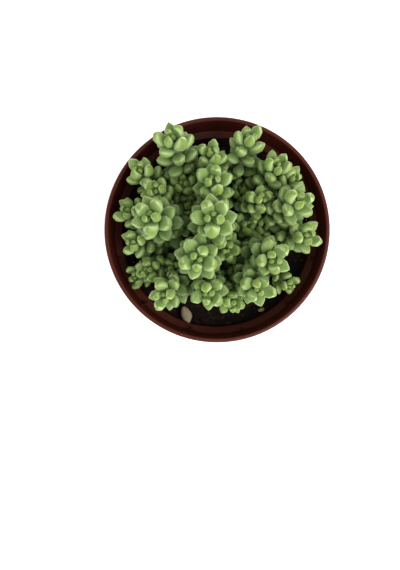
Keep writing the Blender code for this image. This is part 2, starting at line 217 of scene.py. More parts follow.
def ribShape():
    # the ribs start inside the wall, so that they join it
    shape = bmesh.new()
    inWall = collarFootInner + pot["wall"] / 2
    front = collarFootInner - pot["ribReach"]
    outline = [
        (inWall, ledgeZ - pot["wall"] / 2),
        (inWall, ledgeZ + pot["ribHeight"]),
        (collarFootInner, ledgeZ + pot["ribHeight"]),
        (front, ledgeZ),
        (front, ledgeZ - pot["wall"]),
    ]
    for number in range(pot["ribs"]):
        points = [shape.verts.new((radius, -pot["ribWidth"] / 2, z)) for radius, z in outline]
        moved = bmesh.ops.extrude_face_region(shape, geom=[shape.faces.new(points)])["geom"]
        corners = [part for part in moved if isinstance(part, bmesh.types.BMVert)]
        bmesh.ops.translate(shape, verts=corners, vec=(0, pot["ribWidth"], 0))
        angle = math.radians(pot["ribFirstAngle"] + 360 / pot["ribs"] * number)
        turn = Matrix.Rotation(angle, 3, "Z")
        bmesh.ops.rotate(shape, verts=points + corners, cent=(0, 0, 0), matrix=turn)
    bmesh.ops.recalc_face_normals(shape, faces=shape.faces)
    return meshOf(shape, "ribs")


def drainShape():
    # pins, long enough to pass through the base, which cut the holes
    shape = bmesh.new()
    for number in range(pot["drainHoles"]):
        angle = math.tau * number / pot["drainHoles"]
        place = Vector((math.cos(angle), math.sin(angle), 0)) * pot["drainCircle"]
        bmesh.ops.create_cone(
            shape, cap_ends=True, segments=32, radius1=pot["drainRadius"],
            radius2=pot["drainRadius"], depth=6 * pot["baseThickness"],
            matrix=Matrix.Translation(place + up * baseTopZ),
        )
    return meshOf(shape, "drains")


def combined(base, changes):
    # the base mesh with other meshes joined on or cut away
    holder = bpy.data.objects.new("holder", base)
    bpy.context.scene.collection.objects.link(holder)
    helpers = []
    for mesh, operation in changes:
        helper = bpy.data.objects.new("helper", mesh)
        bpy.context.scene.collection.objects.link(helper)
        helpers.append(helper)
        change = holder.modifiers.new("change", "BOOLEAN")
        change.object = helper
        change.operation = operation
        change.solver = "EXACT"
    graph = bpy.context.evaluated_depsgraph_get()
    result = bpy.data.meshes.new_from_object(holder.evaluated_get(graph))
    for item in helpers + [holder]:
        bpy.data.objects.remove(item)
    return result


def plasticMaterial():
    # injection-moulded polypropylene, red-brown: an even satin skin with a faint orange peel and
    # a little soil dust on upward faces, so the gloss breaks up
    material, tree, shader = newMaterial("mouldedPolypropylene")
    place = addNode(tree, "ShaderNodeTexCoord").outputs["Object"]
    cloud = addNode(tree, "ShaderNodeTexNoise", {"Vector": place, "Scale": 1 / (22.2 * mm), "Detail": 4})
    tint = addNode(
        tree, "ShaderNodeMix",
        {"Factor": cloud.outputs["Fac"], 6: linear(pot["plastic"]), 7: linear(pot["wornPlastic"])},
        data_type="RGBA",
    )
    dustNoise = addNode(
        tree, "ShaderNodeTexNoise",
        {"Vector": place, "Scale": 1 / (3.85 * mm), "Detail": 6, "Roughness": 0.7},
    )
    facing = addNode(tree, "ShaderNodeNewGeometry").outputs["Normal"]
    upward = addNode(tree, "ShaderNodeSeparateXYZ", {0: facing}).outputs["Z"]
    dust = addNode(
        tree, "ShaderNodeMath", {0: dustNoise.outputs["Fac"], 1: upward}, operation="MULTIPLY"
    )
    dustMask = addNode(
        tree, "ShaderNodeMapRange",
        {"Value": dust.outputs[0], "From Min": 0.52, "From Max": 0.75, "To Min": 0.0, "To Max": 0.15},
    )
    colour = addNode(
        tree, "ShaderNodeMix",
        {"Factor": dustMask.outputs[0], 6: tint.outputs[2], 7: linear(pot["dust"])}, data_type="RGBA",
    )
    rough = addNode(
        tree, "ShaderNodeMapRange", {"Value": dustNoise.outputs["Fac"], "To Min": 0.36, "To Max": 0.52}
    )
    peel = addNode(
        tree, "ShaderNodeTexNoise", {"Vector": place, "Scale": 1 / (1.11 * mm), "Detail": 2}
    )
    bump = addNode(
        tree, "ShaderNodeBump", {"Height": peel.outputs["Fac"], "Strength": 0.12, "Distance": 0.1 * mm}
    )
    setShader(
        tree, shader, base_color=colour.outputs[2], roughness=rough.outputs[0],
        normal=bump.outputs[0], ior=1.49, specular_ior_level=0.3,
    )
    return material


def makePot():
    tub = meshOf(spun(potOutline(), pot["steps"]), "tub")
    mesh = combined(tub, [(ribShape(), "UNION"), (drainShape(), "DIFFERENCE")])
    finishPiece("plastic_pot", mesh, plasticMaterial(), "pot", pot["sharpAngle"])
    print("pot made,", len(mesh.polygons), "faces")


makePot()


# the soil: dark peat with bark crumbs and a few white grains of perlite

soil = {
    "gap": 0.3 * mm,
    "edgeZ": 88 * mm,
    "mound": 3 * mm,
    "lump": 0.5 * mm,
    "lumpWaves": (190, 160),        # radians per metre, along x and along y
    "grain": 0.7 * mm,
    "grainMiddle": 0.2,
    "grainSize": 3 * mm,
    "rings": 44,
    "steps": 180,
    "crumbs": 520,
    "crumbSize": (0.5 * mm, 1.6 * mm),
    "crumbFlatness": 0.6,
    "crumbSeed": 11,
    "perlite": 26,
    "perliteSize": (0.4 * mm, 0.9 * mm),
    "perliteFlatness": 0.8,
    "perliteSeed": 5,
    "stretch": (0.7, 1.4),          # how long and how wide a grain is, in its radii
    "narrowing": (0.5, 1),
    "tilt": 0.5,                    # the most that it leans, in radians
    "dents": (0.75, 1.1),           # how far a grain's corners lie from its middle, in its radii
    "lift": 0.25,                   # how far a grain's middle stands over the soil, in its radii
    "sharpAngle": 30,
    "peat": "#0F0B0A",
    "brownPeat": "#291D18",
    "rust": "#44322A",
    "perliteWhite": "#B9B4AA",
    "perlitePoreShade": "#77716A",
}
soilEdgeRadius = bodyInnerRadius(soil["edgeZ"]) - soil["gap"]


def soilHeight(x, y):
    share = min(1, math.hypot(x, y) / soilEdgeRadius)
    acrossX, acrossY = soil["lumpWaves"]
    lumps = math.sin(x * acrossX + 1.3) * math.cos(y * acrossY - 0.7)
    return soil["edgeZ"] + soil["mound"] * (1 - share ** 2) + soil["lump"] * lumps * (1 - share ** 4)


def soilMaterial():
    # moist peat compost: nearly black brown fibres with rusty and grey flecks, fully matte
    material, tree, shader = newMaterial("moistPeatCompost")
    place = addNode(tree, "ShaderNodeTexCoord").outputs["Object"]
    fleck = addNode(tree, "ShaderNodeTexVoronoi", {"Vector": place, "Scale": 1 / (1.613 * mm)})
    fibre = addNode(
        tree, "ShaderNodeTexNoise",
        {"Vector": place, "Scale": 1 / (2.63 * mm), "Detail": 8, "Roughness": 0.75},
    )
    tone = addNode(tree, "ShaderNodeSeparateColor", {0: fleck.outputs["Color"]})
    brown = addNode(
        tree, "ShaderNodeMix",
        {"Factor": fibre.outputs["Fac"], 6: linear(soil["peat"]), 7: linear(soil["brownPeat"])},
        data_type="RGBA",
    )
    rusty = addNode(
        tree, "ShaderNodeMapRange",
        {"Value": tone.outputs[0], "From Min": 0.82, "From Max": 1.0, "To Max": 0.6},
    )
    colour = addNode(
        tree, "ShaderNodeMix", {"Factor": rusty.outputs[0], 6: brown.outputs[2], 7: linear(soil["rust"])},
        data_type="RGBA",
    )
    bump = addNode(
        tree, "ShaderNodeBump", {"Height": fibre.outputs["Fac"], "Strength": 0.9, "Distance": 0.5 * mm}
    )
    setShader(
        tree, shader, base_color=colour.outputs[2], roughness=0.95, normal=bump.outputs[0],
        specular_ior_level=0.25,
    )
    return material


def perliteMaterial():
    # expanded perlite: chalky white grains, with grey painted shade in their pores, greyer away from the
    # middles of fine cells
    material, tree, shader = newMaterial("expandedPerlite")
    place = addNode(tree, "ShaderNodeTexCoord").outputs["Object"]
    pores = addNode(tree, "ShaderNodeTexVoronoi", {"Vector": place, "Scale": 1 / (0.4545 * mm)})
    # the grey colour is painted shade, standing for the shade inside the pores
    white, grey = linear(soil["perliteWhite"]), linear(soil["perlitePoreShade"])
    colour = addNode(
        tree, "ShaderNodeMix", {"Factor": pores.outputs["Distance"], 6: white, 7: grey}, data_type="RGBA"
    )
    setShader(tree, shader, base_color=colour.outputs[2], roughness=0.9)
    return material


def scatter(count, sizes, seed, flatness):
    # grains of random shape pressed a little into the soil
    chance = random.Random(seed)
    shape = bmesh.new()
    for _ in range(count):
        size = chance.uniform(*sizes)
        away = (soilEdgeRadius - size) * math.sqrt(chance.random())
        angle = chance.uniform(0, math.tau)
        x, y = away * math.cos(angle), away * math.sin(angle)
        long, wide = chance.uniform(*soil["stretch"]), chance.uniform(*soil["narrowing"])
        spread = Matrix.Diagonal((long, wide, flatness, 1))
        turn = Matrix.Rotation(chance.uniform(0, math.tau), 4, "Z")
        tilt = Matrix.Rotation(chance.uniform(-soil["tilt"], soil["tilt"]), 4, "X")
        place = Matrix.Translation((x, y, soilHeight(x, y) + size * soil["lift"]))
        grown = bmesh.ops.create_icosphere(shape, subdivisions=1, radius=size)["verts"]
        for vert in grown:
            vert.co *= chance.uniform(*soil["dents"])
        bmesh.ops.transform(shape, matrix=place @ turn @ tilt @ spread, verts=grown)
    return shape


def makeSoil():
    bottom = baseTopZ + soil["gap"]
    rings = soil["rings"]
    top = [(soilEdgeRadius * ring / rings, soil["edgeZ"]) for ring in range(rings, -1, -1)]
    profile = [(0, bottom), (bodyInnerRadius(bottom) - soil["gap"], bottom)] + top
    shape = spun(profile, soil["steps"])
    for vert in shape.verts:
        if vert.co.z > soil["edgeZ"] - soil["gap"]:
            grain = noise.fractal(vert.co / soil["grainSize"], 1.0, 2.1, 4) - soil["grainMiddle"]
            vert.co.z = soilHeight(vert.co.x, vert.co.y) + soil["grain"] * grain
    peat = soilMaterial()
    finishPiece("potting_soil", meshOf(shape, "soil"), peat, "soil")
    sharp = soil["sharpAngle"]
    crumbs = scatter(soil["crumbs"], soil["crumbSize"], soil["crumbSeed"], soil["crumbFlatness"])
    finishPiece("bark_crumbs", meshOf(crumbs, "crumbs"), peat, "soil", sharp)
    grains = scatter(soil["perlite"], soil["perliteSize"], soil["perliteSeed"], soil["perliteFlatness"])
    finishPiece("perlite_grains", meshOf(grains, "grains"), perliteMaterial(), "soil", sharp)
    print("soil made")


makeSoil()


# the shoots: each row is a tip's x, y, height above the rim, lean outwards, leaf length,
# direction of the first leaf, and the sense of the leaf spiral, in millimetres and degrees

shootRows = [
    (-4, 2, 36, 5, 15.0, 75, 1),
    (-12, -20, 33, 10, 14.5, 10, 1),
    (-37.5, 3, 31, 15, 14.5, 90, 1),
    (-3, 24, 26, 12, 13.0, 120, -1),
    (30, -20, 26, 18, 13.5, 220, 1),
    (22, -36, 24, 20, 13.0, 180, 1),
    (45.5, 13, 23, 22, 13.5, 335, 1),
    (-26.5, 48, 23, 26, 14.0, 350, 1),
    (-6, -39, 22, 20, 12.5, 155, -1),
    (-31, -40.5, 19, 22, 12.5, 75, -1),
    (18, 50.5, 17, 28, 12.5, 215, 1),
    (-4.5, 42, 16, 20, 12.0, 105, 1),
    (35, 35, 14, 22, 13.0, 0, 1),
    (25.5, 15.5, 14, 10, 11.5, 345, 1),
    (4, -13, 13, 10, 12.0, 315, -1),
    (-36.5, 21.5, 13, 12, 11.5, 305, 1),
    (52.5, -5, 11, 25, 12.5, 160, -1),
    (8, -45, 11, 25, 11.0, 185, -1),
    (44.5, 30, 7, 28, 11.5, 100, 1),
    (-46.5, 34, 7, 28, 12.0, 315, -1),
    (-20, 27, 7, 8, 11.0, 195, 1),
    (-25, 4, 5, 8, 11.0, 0, -1),
    (-54, 10.5, 5, 28, 12.0, 20, 1),
    (-50.5, -8.5, 5, 28, 12.0, 45, 1),
    (-42, -25, 3, 12, 11.0, 150, -1),
    (19, 3, 0, 5, 11.0, 75, -1),
    (-19, 14, 0, 5, 11.0, 130, -1),
    (14, -25, -2, 8, 11.0, 80, 1),
    (-30, -26, -2, 10, 10.0, 310, -1),
    (45, -34, -2, 22, 9.0, 200, 1),
    (31.5, 3, -4, 8, 10.5, 175, 1),
    (-50, -28.5, -4, 22, 10.5, 305, 1),
    (15, 26, -5, 5, 10.5, 270, 1),
    (19, -12, -6, 5, 10.5, 40, -1),
    (6, -30, -6, 8, 10.5, 10, -1),
]

stem = {
    "rootDepth": 14 * mm,
    "rootDraw": 0.72,          # share of the tip's distance from the axis at which the stem is rooted
    "rootRise": 0.35,          # shares of the stem's reach over which it leaves the soil upright
    "tipRun": 0.40,            # and comes in straight to its tip
    "points": 25,              # on the stem's curve
    "footRadius": 2.0 * mm,
    "tipRadius": 1.0 * mm,
    "rings": 14,
    "sides": 8,
    "skin": "#84A066",
    "paleSkin": "#A9B98A",
    "cork": "#7C6A4E",
    "corkEnd": 20 * mm,        # how far above the rim the cork ends
}

leaf = {
    "goldenAngle": 137.5,
    "width": 0.60,             # shares of the leaf's length
    "thickness": 0.50,
    "faceFullness": 0.34,      # shares of the thickness on the inner and the outer side
    "backFullness": 0.56,
    "fullest": 0.60,           # where along the leaf it is widest
    "sideOutline": (0.60, 0.62, 2.20),    # powers that shape the foot, the tip and its shoulders
    "topOutline": (0.70, 1.05, 1.75),
    "faceRound": 0.80,         # powers that shape its two sides across: below 1, they are squarer
    "backRound": 0.95,
    "youngTip": 0.10,          # how much less pointed a young leaf is
    "youngHollow": 0.12,       # what a young leaf's inner side loses and its back gains in fullness
    "youngPoint": 0.26,        # how far its point lies to the inner side, in shares of the thickness
    "youngMiddle": 0.20,       # and how much further out its middle lies
    "ringDraw": 1.35,          # above 1, its rings of faces are drawn towards the tip
    "seat": 0.5,               # share of the stem's radius at which its foot sits
    "internode": 1.5 * mm,     # between open leaves along the stem
    "tipCrowding": (0.30, 0.12),    # share of that between the first two leaves, and its growth a leaf
    "budLength": (0.36, 0.16),      # share of its full length that the first has, and its growth a leaf
    "budOpening": 4,           # degrees between the first leaf and the stem
    "opening": 68,             # what later leaves open by beyond that
    "openingLeaves": 6.5,      # how many leaves it takes them
    "openingPace": 1.5,
    "youngBend": 108,          # how much it curves inwards from its foot to its point, in degrees
    "openBend": 16,
    "lastYoung": 4.6,          # how many leaves stand curved over the tip before they open
    "uncurlPace": 1.5,
    # below this the leaves have the full old colour, which is partly painted shade
    "fullAge": 22 * mm,        # how far below the tip a leaf has its old colour
    "lengthSpread": (0.94, 1.04),   # chance differences between leaves
    "bendSpread": (0.9, 1.1),
    "plumpSpread": (0.9, 1.1),
    "toneSpread": (0, 0.5),    # for a shoot, and again for each leaf
    "seed": 3,
    "balls": ((0.48, 0.25), (0.78, 0.24)),    # stand for a leaf: where along it, and their radius
    "spreadRounds": 40,
    "pressOwn": 0.12,          # how hard a leaf presses on its own shoot's leaves
    "pressOther": 0.5,         # and on those of other shoots
    "yield": 0.5,              # share of a push that it gives way to in a round
    "mostTurn": math.radians(32),
    "overRim": 2 * mm,         # how far above the rim a leaf has to be before it may reach over the lip
    "lipClearance": 4 * soil["gap"],
    "segments": 10,
    "rings": 7,
}


class Shoot:
    def __init__(self, number, x, y, rise, lean, length, phase, sense):
        self.number = number
        self.name = f"shoot_{number:02d}"
        self.leafLength = length * mm
        self.phase = phase
        self.sense = sense
        tip = Vector((x * mm, y * mm, pot["height"] + rise * mm))
        away = Vector((x, y, 0)).normalized()
        heading = away * math.sin(math.radians(lean)) + up * math.cos(math.radians(lean))
        ground = Vector((tip.x * stem["rootDraw"], tip.y * stem["rootDraw"], 0))
        ground.z = soilHeight(ground.x, ground.y) + soil["gap"]
        self.foot = Vector((ground.x, ground.y, soil["edgeZ"] - stem["rootDepth"]))
        reach = (tip - ground).length
        curve = interpolate_bezier(
            ground, ground + up * reach * stem["rootRise"], tip - heading * reach * stem["tipRun"],
            tip, stem["points"],
        )
        self.line = [Vector(point) for point in curve]
        steps = [(b - a).length for a, b in zip(self.line, self.line[1:])]
        self.marks = [0.0, *np.cumsum(steps)]
        self.length = self.marks[-1]

    def place(self, belowTip):
        # the point and the direction of the stem this far below its tip
        mark = max(0.0, self.length - belowTip)
        index = min(int(np.searchsorted(self.marks, mark, side="right")) - 1, len(self.line) - 2)
        start, end = self.line[index], self.line[index + 1]
        share = (mark - self.marks[index]) / (self.marks[index + 1] - self.marks[index])
        return start.lerp(end, share), (end - start).normalized()

    def radius(self, belowTip):
        share = min(1, belowTip / self.length)
        return stem["tipRadius"] + (stem["footRadius"] - stem["tipRadius"]) * share


class Leaf:
    def __init__(self, shoot, number, belowTip):
        self.shoot = shoot
        self.belowTip = belowTip
        point, along = shoot.place(belowTip)
        side = (Vector((1, 0, 0)) - along * along.x).normalized()
        angle = math.radians(shoot.phase + shoot.sense * leaf["goldenAngle"] * number)
        out = side * math.cos(angle) + along.cross(side) * math.sin(angle)
        opened = 1 - math.exp(-(number / leaf["openingLeaves"]) ** leaf["openingPace"])
        openBy = math.radians(leaf["budOpening"] + leaf["opening"] * opened)
        self.base = point + out * shoot.radius(belowTip) * leaf["seat"]
        self.toward = (out * math.sin(openBy) + along * math.cos(openBy)).normalized()
        self.inner = along
        first, growth = leaf["budLength"]
        self.length = shoot.leafLength * min(1, first + growth * number)
        self.curl = 1 / (1 + math.exp(leaf["uncurlPace"] * (number - leaf["lastYoung"])))
        self.bend = math.radians(leaf["openBend"] + (leaf["youngBend"] - leaf["openBend"]) * self.curl)


def leavesOf(shoot):
    # every leaf from the tip down: they crowd at the tip and spread out below it
    leaves = []
    belowTip = 0.0
    number = 0
    first, growth = leaf["tipCrowding"]
    while belowTip < shoot.length - leaf["internode"]:
        leaves.append(Leaf(shoot, number, belowTip))
        belowTip += leaf["internode"] * min(1, first + growth * number)
        number += 1
    return leaves


def freeRadius(z):
    # how far from the axis a leaf may reach: to the wall below the rim, and to the lip above it
    inside = z < pot["height"] + leaf["overRim"]
    return np.where(inside, collarFootInner - soil["gap"], pot["rimRadius"] - leaf["lipClearance"])


def spreadLeaves(leaves):
    # turns each leaf about its base until it hardly presses on its neighbours, the pot or the soil
    base = np.array([item.base for item in leaves])
    rest = np.array([item.toward for item in leaves])
    inner = np.array([item.inner for item in leaves])
    bend = np.array([item.bend for item in leaves])
    length = np.array([item.length for item in leaves])
    owner = np.array([item.shoot.number for item in leaves])
    toward = rest.copy()
    count = len(leaves)
    share = np.repeat([place for place, _ in leaf["balls"]], count)
    radius = np.concatenate([length * size for _, size in leaf["balls"]])
    which = np.tile(np.arange(count), len(leaf["balls"]))
    offset, arm = bentCentre(share, bend[which]) * length[which]
    for turn in range(leaf["spreadRounds"]):
        side = inner - toward * np.sum(inner * toward, axis=1)[:, None]
        side /= np.linalg.norm(side, axis=1)[:, None]
        centre = base[which] + toward[which] * arm[:, None] + side[which] * offset[:, None]
        if turn % 8 == 0:    # neighbours change too slowly to look for them each time
            first, second = nearPairs(centre, which, 2 * radius.max())
        apart = centre[first] - centre[second]
        distance = np.linalg.norm(apart, axis=1) + 1e-9
        same = owner[which[first]] == owner[which[second]]
        press = np.clip(radius[first] + radius[second] - distance, 0, None)
        press *= np.where(same, leaf["pressOwn"], leaf["pressOther"])
        shove = apart / distance[:, None] * press[:, None]
        push = np.zeros_like(centre)
        np.add.at(push, first, shove)
        np.add.at(push, second, -shove)
        flat = np.linalg.norm(centre[:, :2], axis=1)
        over = np.clip(flat + radius - freeRadius(centre[:, 2]), 0, None)
        push[:, :2] -= centre[:, :2] / flat[:, None] * over[:, None]
        floor = soil["edgeZ"] + soil["mound"] * (1 - np.clip(flat / soilEdgeRadius, 0, 1) ** 2)
        push[:, 2] += np.clip(floor + radius + soil["lump"] - centre[:, 2], 0, None)
        turnedBy = np.zeros_like(toward)
        np.add.at(turnedBy, which, push / arm[:, None])
        toward += turnedBy * leaf["yield"]
        toward /= np.linalg.norm(toward, axis=1)[:, None]
        toward = limitTurn(toward, rest)
    for item, direction in zip(leaves, toward):
        item.toward = Vector(direction)


def bentCentre(along, bend):
    # a bent leaf's middle line: how far it lies to the inner side of its chord, and how far up it
    heading = bend * (along - 0.5)
    return np.array((np.cos(bend / 2) - np.cos(heading), np.sin(heading) + np.sin(bend / 2))) / bend


def nearPairs(centre, which, reach):
    # the pairs of balls, of different leaves, whose middles lie within this reach
    tree = KDTree(len(centre))
    for index, point in enumerate(centre):
        tree.insert(point, index)
    tree.balance()
    pairs = [
        (index, other)
        for index, point in enumerate(centre)
        for _, other, _ in tree.find_range(point, reach)
        if other > index and which[other] != which[index]
    ]
    return np.array(pairs).T


def limitTurn(toward, rest):
    # holds each leaf within its widest turn from the direction it grew in
    cosine = np.clip(np.sum(toward * rest, axis=1), -1, 1)
    angle = np.arccos(cosine)
    across = toward - rest * cosine[:, None]
    across /= np.linalg.norm(across, axis=1)[:, None] + 1e-9
    held = np.minimum(angle, leaf["mostTurn"])
    return rest * np.cos(held)[:, None] + across * np.sin(held)[:, None]


def leafMatrix(base, toward, inner, length):
    # takes a leaf of length 1, which points along +Z with its inner side at +X, to its place
    flat = (inner - toward * inner.dot(toward)).normalized()
    turn = Matrix((flat, toward.cross(flat), toward)).transposed().to_4x4()
    return Matrix.Translation(base) @ turn @ Matrix.Scale(length, 4)


def leafGirth(along, footPower, tipPower, tipRound):
    # how full a leaf is at a share of its length: a narrow foot, a full middle and a pointed tip
    if not 0 < along < 1:
        return 0
    fullest = leaf["fullest"]
    if along < fullest:
        return (1 - ((fullest - along) / fullest) ** 2) ** footPower
    return (1 - ((along - fullest) / (1 - fullest)) ** tipRound) ** tipPower


def growLeaf(shape, matrix, bend, curl, plump):
    # one leaf from a sphere, with edges at +Y and -Y: an open one is full on both faces, and a young
    # one, whose curl is 1, has a flat inner face and an outer one that curves over to meet its point
    grown = bmesh.ops.create_uvsphere(
        shape, u_segments=leaf["segments"], v_segments=leaf["rings"], radius=0.5, calc_uvs=True
    )["verts"]
    hollow, point, middle = [leaf[key] * curl for key in ("youngHollow", "youngPoint", "youngMiddle")]
    footPower, tipPower, tipRound = leaf["topOutline"]
    for vert in grown:
        along = 1 - (0.5 - vert.co.z) ** leaf["ringDraw"]
        angle = math.atan2(vert.co.y, vert.co.x)
        inner = math.cos(angle)
        if inner > 0:
            face = (leaf["faceFullness"] - hollow) * inner ** leaf["faceRound"]
        else:
            face = -(leaf["backFullness"] + hollow) * abs(inner) ** leaf["backRound"] * plump
        depth = leaf["thickness"] * (point + (face - middle) * leafGirth(along, *leaf["sideOutline"]))
        girth = leafGirth(along, footPower, tipPower - leaf["youngTip"] * curl, tipRound)
        across = math.sin(angle) * leaf["width"] / 2 * girth
        heading = bend * (along - 0.5)
        offset, rise = bentCentre(along, bend)
        vert.co = (offset + depth * math.cos(heading), across, rise - depth * math.sin(heading))
    bmesh.ops.transform(shape, matrix=matrix, verts=grown)
    return grown


# the leaves' skin: its colours, and how they follow the map round each leaf

waxySkin = {
    # the inner side is duller than the back: partly its own waxy colour, partly painted shade from the
    # leaves that crowd it
    "face": ("#87A065", "#98AD6E"),    # of the inner side, from the dullest leaf to the freshest
    "back": ("#8FA766", "#A2B671"),
    # the colour for old leaves low on the stem: partly their older colour, partly painted shade under the
    # leaves above
    "agedAndShaded": "#6F8753",
    "flush": "#78912E",
    # the rim colour is a painted highlight: the pale sheen of the bloom along the edges and the light
    # through them
    "rim": "#C3D69C",
    "bloom": "#B5C79C",
    "speck": "#4A4A2C",
    "sheen": "#E4EEC4",
    "innerSide": 0.45,         # where the inner side lies round a leaf in its UV map, in turns
}


def leafMaterial():
    # living stonecrop leaf: wet green flesh under a waxy skin with a powdery bloom, so it has a soft
    # sheen and a yellow-green flush on its outer end; a pale rim is painted on as a highlight for the
    # bloom's sheen and the light through its thin edges
    material, tree, shader = newMaterial("waxyStonecropLeaf")
    place = addNode(tree, "ShaderNodeTexCoord").outputs["Object"]
    skinMap = addNode(tree, "ShaderNodeUVMap", uv_map="leafSkin").outputs["UV"]
    skin = addNode(tree, "ShaderNodeSeparateXYZ", {0: skinMap})
    around, along = skin.outputs["X"], skin.outputs["Y"]
    tone = addNode(tree, "ShaderNodeAttribute", attribute_name="tone").outputs["Fac"]
    age = addNode(tree, "ShaderNodeAttribute", attribute_name="age").outputs["Fac"]
    # how far a point faces the inner side of its leaf: 1 there, 0 at the edges, -1 outside
    angle = addNode(
        tree, "ShaderNodeMath", {0: around, 1: math.tau, 2: -waxySkin["innerSide"] * math.tau},
        operation="MULTIPLY_ADD",
    )
    inner = addNode(tree, "ShaderNodeMath", {0: angle.outputs[0]}, operation="COSINE")
    # a painted highlight for the bloom's sheen and the light through the thin edges: a pale rim of a thin
    # margin on a wavering line and a broad softer band, gone at the foot and the tip
    wobble = addNode(tree, "ShaderNodeTexNoise", {"Vector": place, "Scale": 1 / (2.38 * mm), "Detail": 3})
    edgeSide = addNode(
        tree, "ShaderNodeMath", {0: wobble.outputs["Fac"], 1: 0.14, 2: -0.11}, operation="MULTIPLY_ADD"
    )
    fromEdge = addNode(
        tree, "ShaderNodeMath", {0: inner.outputs[0], 1: edgeSide.outputs[0]}, operation="SUBTRACT"
    )
    edge = addNode(tree, "ShaderNodeMath", {0: fromEdge.outputs[0]}, operation="ABSOLUTE")
    sheenMargin = addNode(
        tree, "ShaderNodeMapRange",
        {"Value": edge.outputs[0], "From Min": 0.16, "From Max": 0.02}, interpolation_type="SMOOTHSTEP",
    )
    side = addNode(
        tree, "ShaderNodeMapRange",
        {"Value": edge.outputs[0], "From Min": 0.7, "From Max": 0.1, "To Max": 0.5},
        interpolation_type="SMOOTHSTEP",
    )
    rim = addNode(tree, "ShaderNodeMath", {0: sheenMargin.outputs[0], 1: side.outputs[0]}, operation="MAXIMUM")
    rimFoot = addNode(
        tree, "ShaderNodeMapRange", {"Value": along, "From Min": 0.25, "From Max": 0.55, "To Max": 0.75},
        interpolation_type="SMOOTHSTEP",
    )
    rimTip = addNode(
        tree, "ShaderNodeMapRange", {"Value": along, "From Min": 0.92, "From Max": 0.76},
        interpolation_type="SMOOTHSTEP",
    )
    rimAlong = addNode(
        tree, "ShaderNodeMath", {0: rimFoot.outputs[0], 1: rimTip.outputs[0]}, operation="MULTIPLY"
    )
    paintedRimSheen = addNode(
        tree, "ShaderNodeMath", {0: rim.outputs[0], 1: rimAlong.outputs[0]}, operation="MULTIPLY"
    )
    # a flush on the outer half: along the middle of both sides, and all round the tip
    outside = addNode(
        tree, "ShaderNodeMapRange", {"Value": inner.outputs[0], "From Min": 0.1, "From Max": -0.3},
        interpolation_type="SMOOTHSTEP",
    )
    flushAlong = addNode(
        tree, "ShaderNodeMapRange", {"Value": along, "From Min": 0.42, "From Max": 0.75},
        interpolation_type="SMOOTHSTEP",
    )
    flushEnd = addNode(
        tree, "ShaderNodeMapRange",
        {"Value": along, "From Min": 0.80, "From Max": 0.95, "To Max": 0.8},
        interpolation_type="SMOOTHSTEP",
    )
    flushBack = addNode(
        tree, "ShaderNodeMapRange", {"Value": inner.outputs[0], "From Min": -0.2, "From Max": -0.9},
        interpolation_type="SMOOTHSTEP",
    )
    flushFace = addNode(
        tree, "ShaderNodeMapRange",
        {"Value": inner.outputs[0], "From Min": 0.25, "From Max": 0.95, "To Max": 0.6},
        interpolation_type="SMOOTHSTEP",
    )
    flushFaces = addNode(
        tree, "ShaderNodeMath", {0: flushBack.outputs[0], 1: flushFace.outputs[0]}, operation="MAXIMUM"
    )
    flushSide = addNode(
        tree, "ShaderNodeMath", {0: flushFaces.outputs[0], 1: flushEnd.outputs[0]}, operation="MAXIMUM"
    )
    flush = addNode(
        tree, "ShaderNodeMath", {0: flushAlong.outputs[0], 1: flushSide.outputs[0]}, operation="MULTIPLY"
    )
    young = addNode(
        tree, "ShaderNodeMapRange",
        {"Value": age, "From Min": 0.0, "From Max": 0.8, "To Min": 0.95, "To Max": 0.25},
    )
    flushYoung = addNode(
        tree, "ShaderNodeMath", {0: flush.outputs[0], 1: young.outputs[0]}, operation="MULTIPLY"
    )
    # the colours, laid over each other from the flesh out to the bloom
    face, back = [
        addNode(
            tree, "ShaderNodeMix", {"Factor": tone, 6: linear(dull), 7: linear(fresh)}, data_type="RGBA"
        )
        for dull, fresh in (waxySkin["face"], waxySkin["back"])
    ]
    # the inner side's duller green is partly painted shade
    body = addNode(
        tree, "ShaderNodeMix", {"Factor": outside.outputs[0], 6: face.outputs[2], 7: back.outputs[2]},
        data_type="RGBA",
    )
    # lower, older leaves darken towards it: partly ageing, partly painted shade
    agedAndShaded = addNode(
        tree, "ShaderNodeMix", {"Factor": age, 6: body.outputs[2], 7: linear(waxySkin["agedAndShaded"])},
        data_type="RGBA",
    )
    flushed = addNode(
        tree, "ShaderNodeMix",
        {"Factor": flushYoung.outputs[0], 6: agedAndShaded.outputs[2], 7: linear(waxySkin["flush"])},
        data_type="RGBA",
    )
    # the pale rim laid on as a painted highlight
    rimSheenPainted = addNode(
        tree, "ShaderNodeMix",
        {"Factor": paintedRimSheen.outputs[0], 6: flushed.outputs[2], 7: linear(waxySkin["rim"])},
        data_type="RGBA",
    )
    powder = addNode(
        tree, "ShaderNodeTexNoise",
        {"Vector": place, "Scale": 1 / (1.43 * mm), "Detail": 5, "Roughness": 0.65},
    )
    powderMask = addNode(
        tree, "ShaderNodeMapRange",
        {"Value": powder.outputs["Fac"], "From Min": 0.4, "From Max": 0.8, "To Max": 0.18},
    )
    bloomed = addNode(
        tree, "ShaderNodeMix",
        {"Factor": powderMask.outputs[0], 6: rimSheenPainted.outputs[2], 7: linear(waxySkin["bloom"])},
        data_type="RGBA",
    )
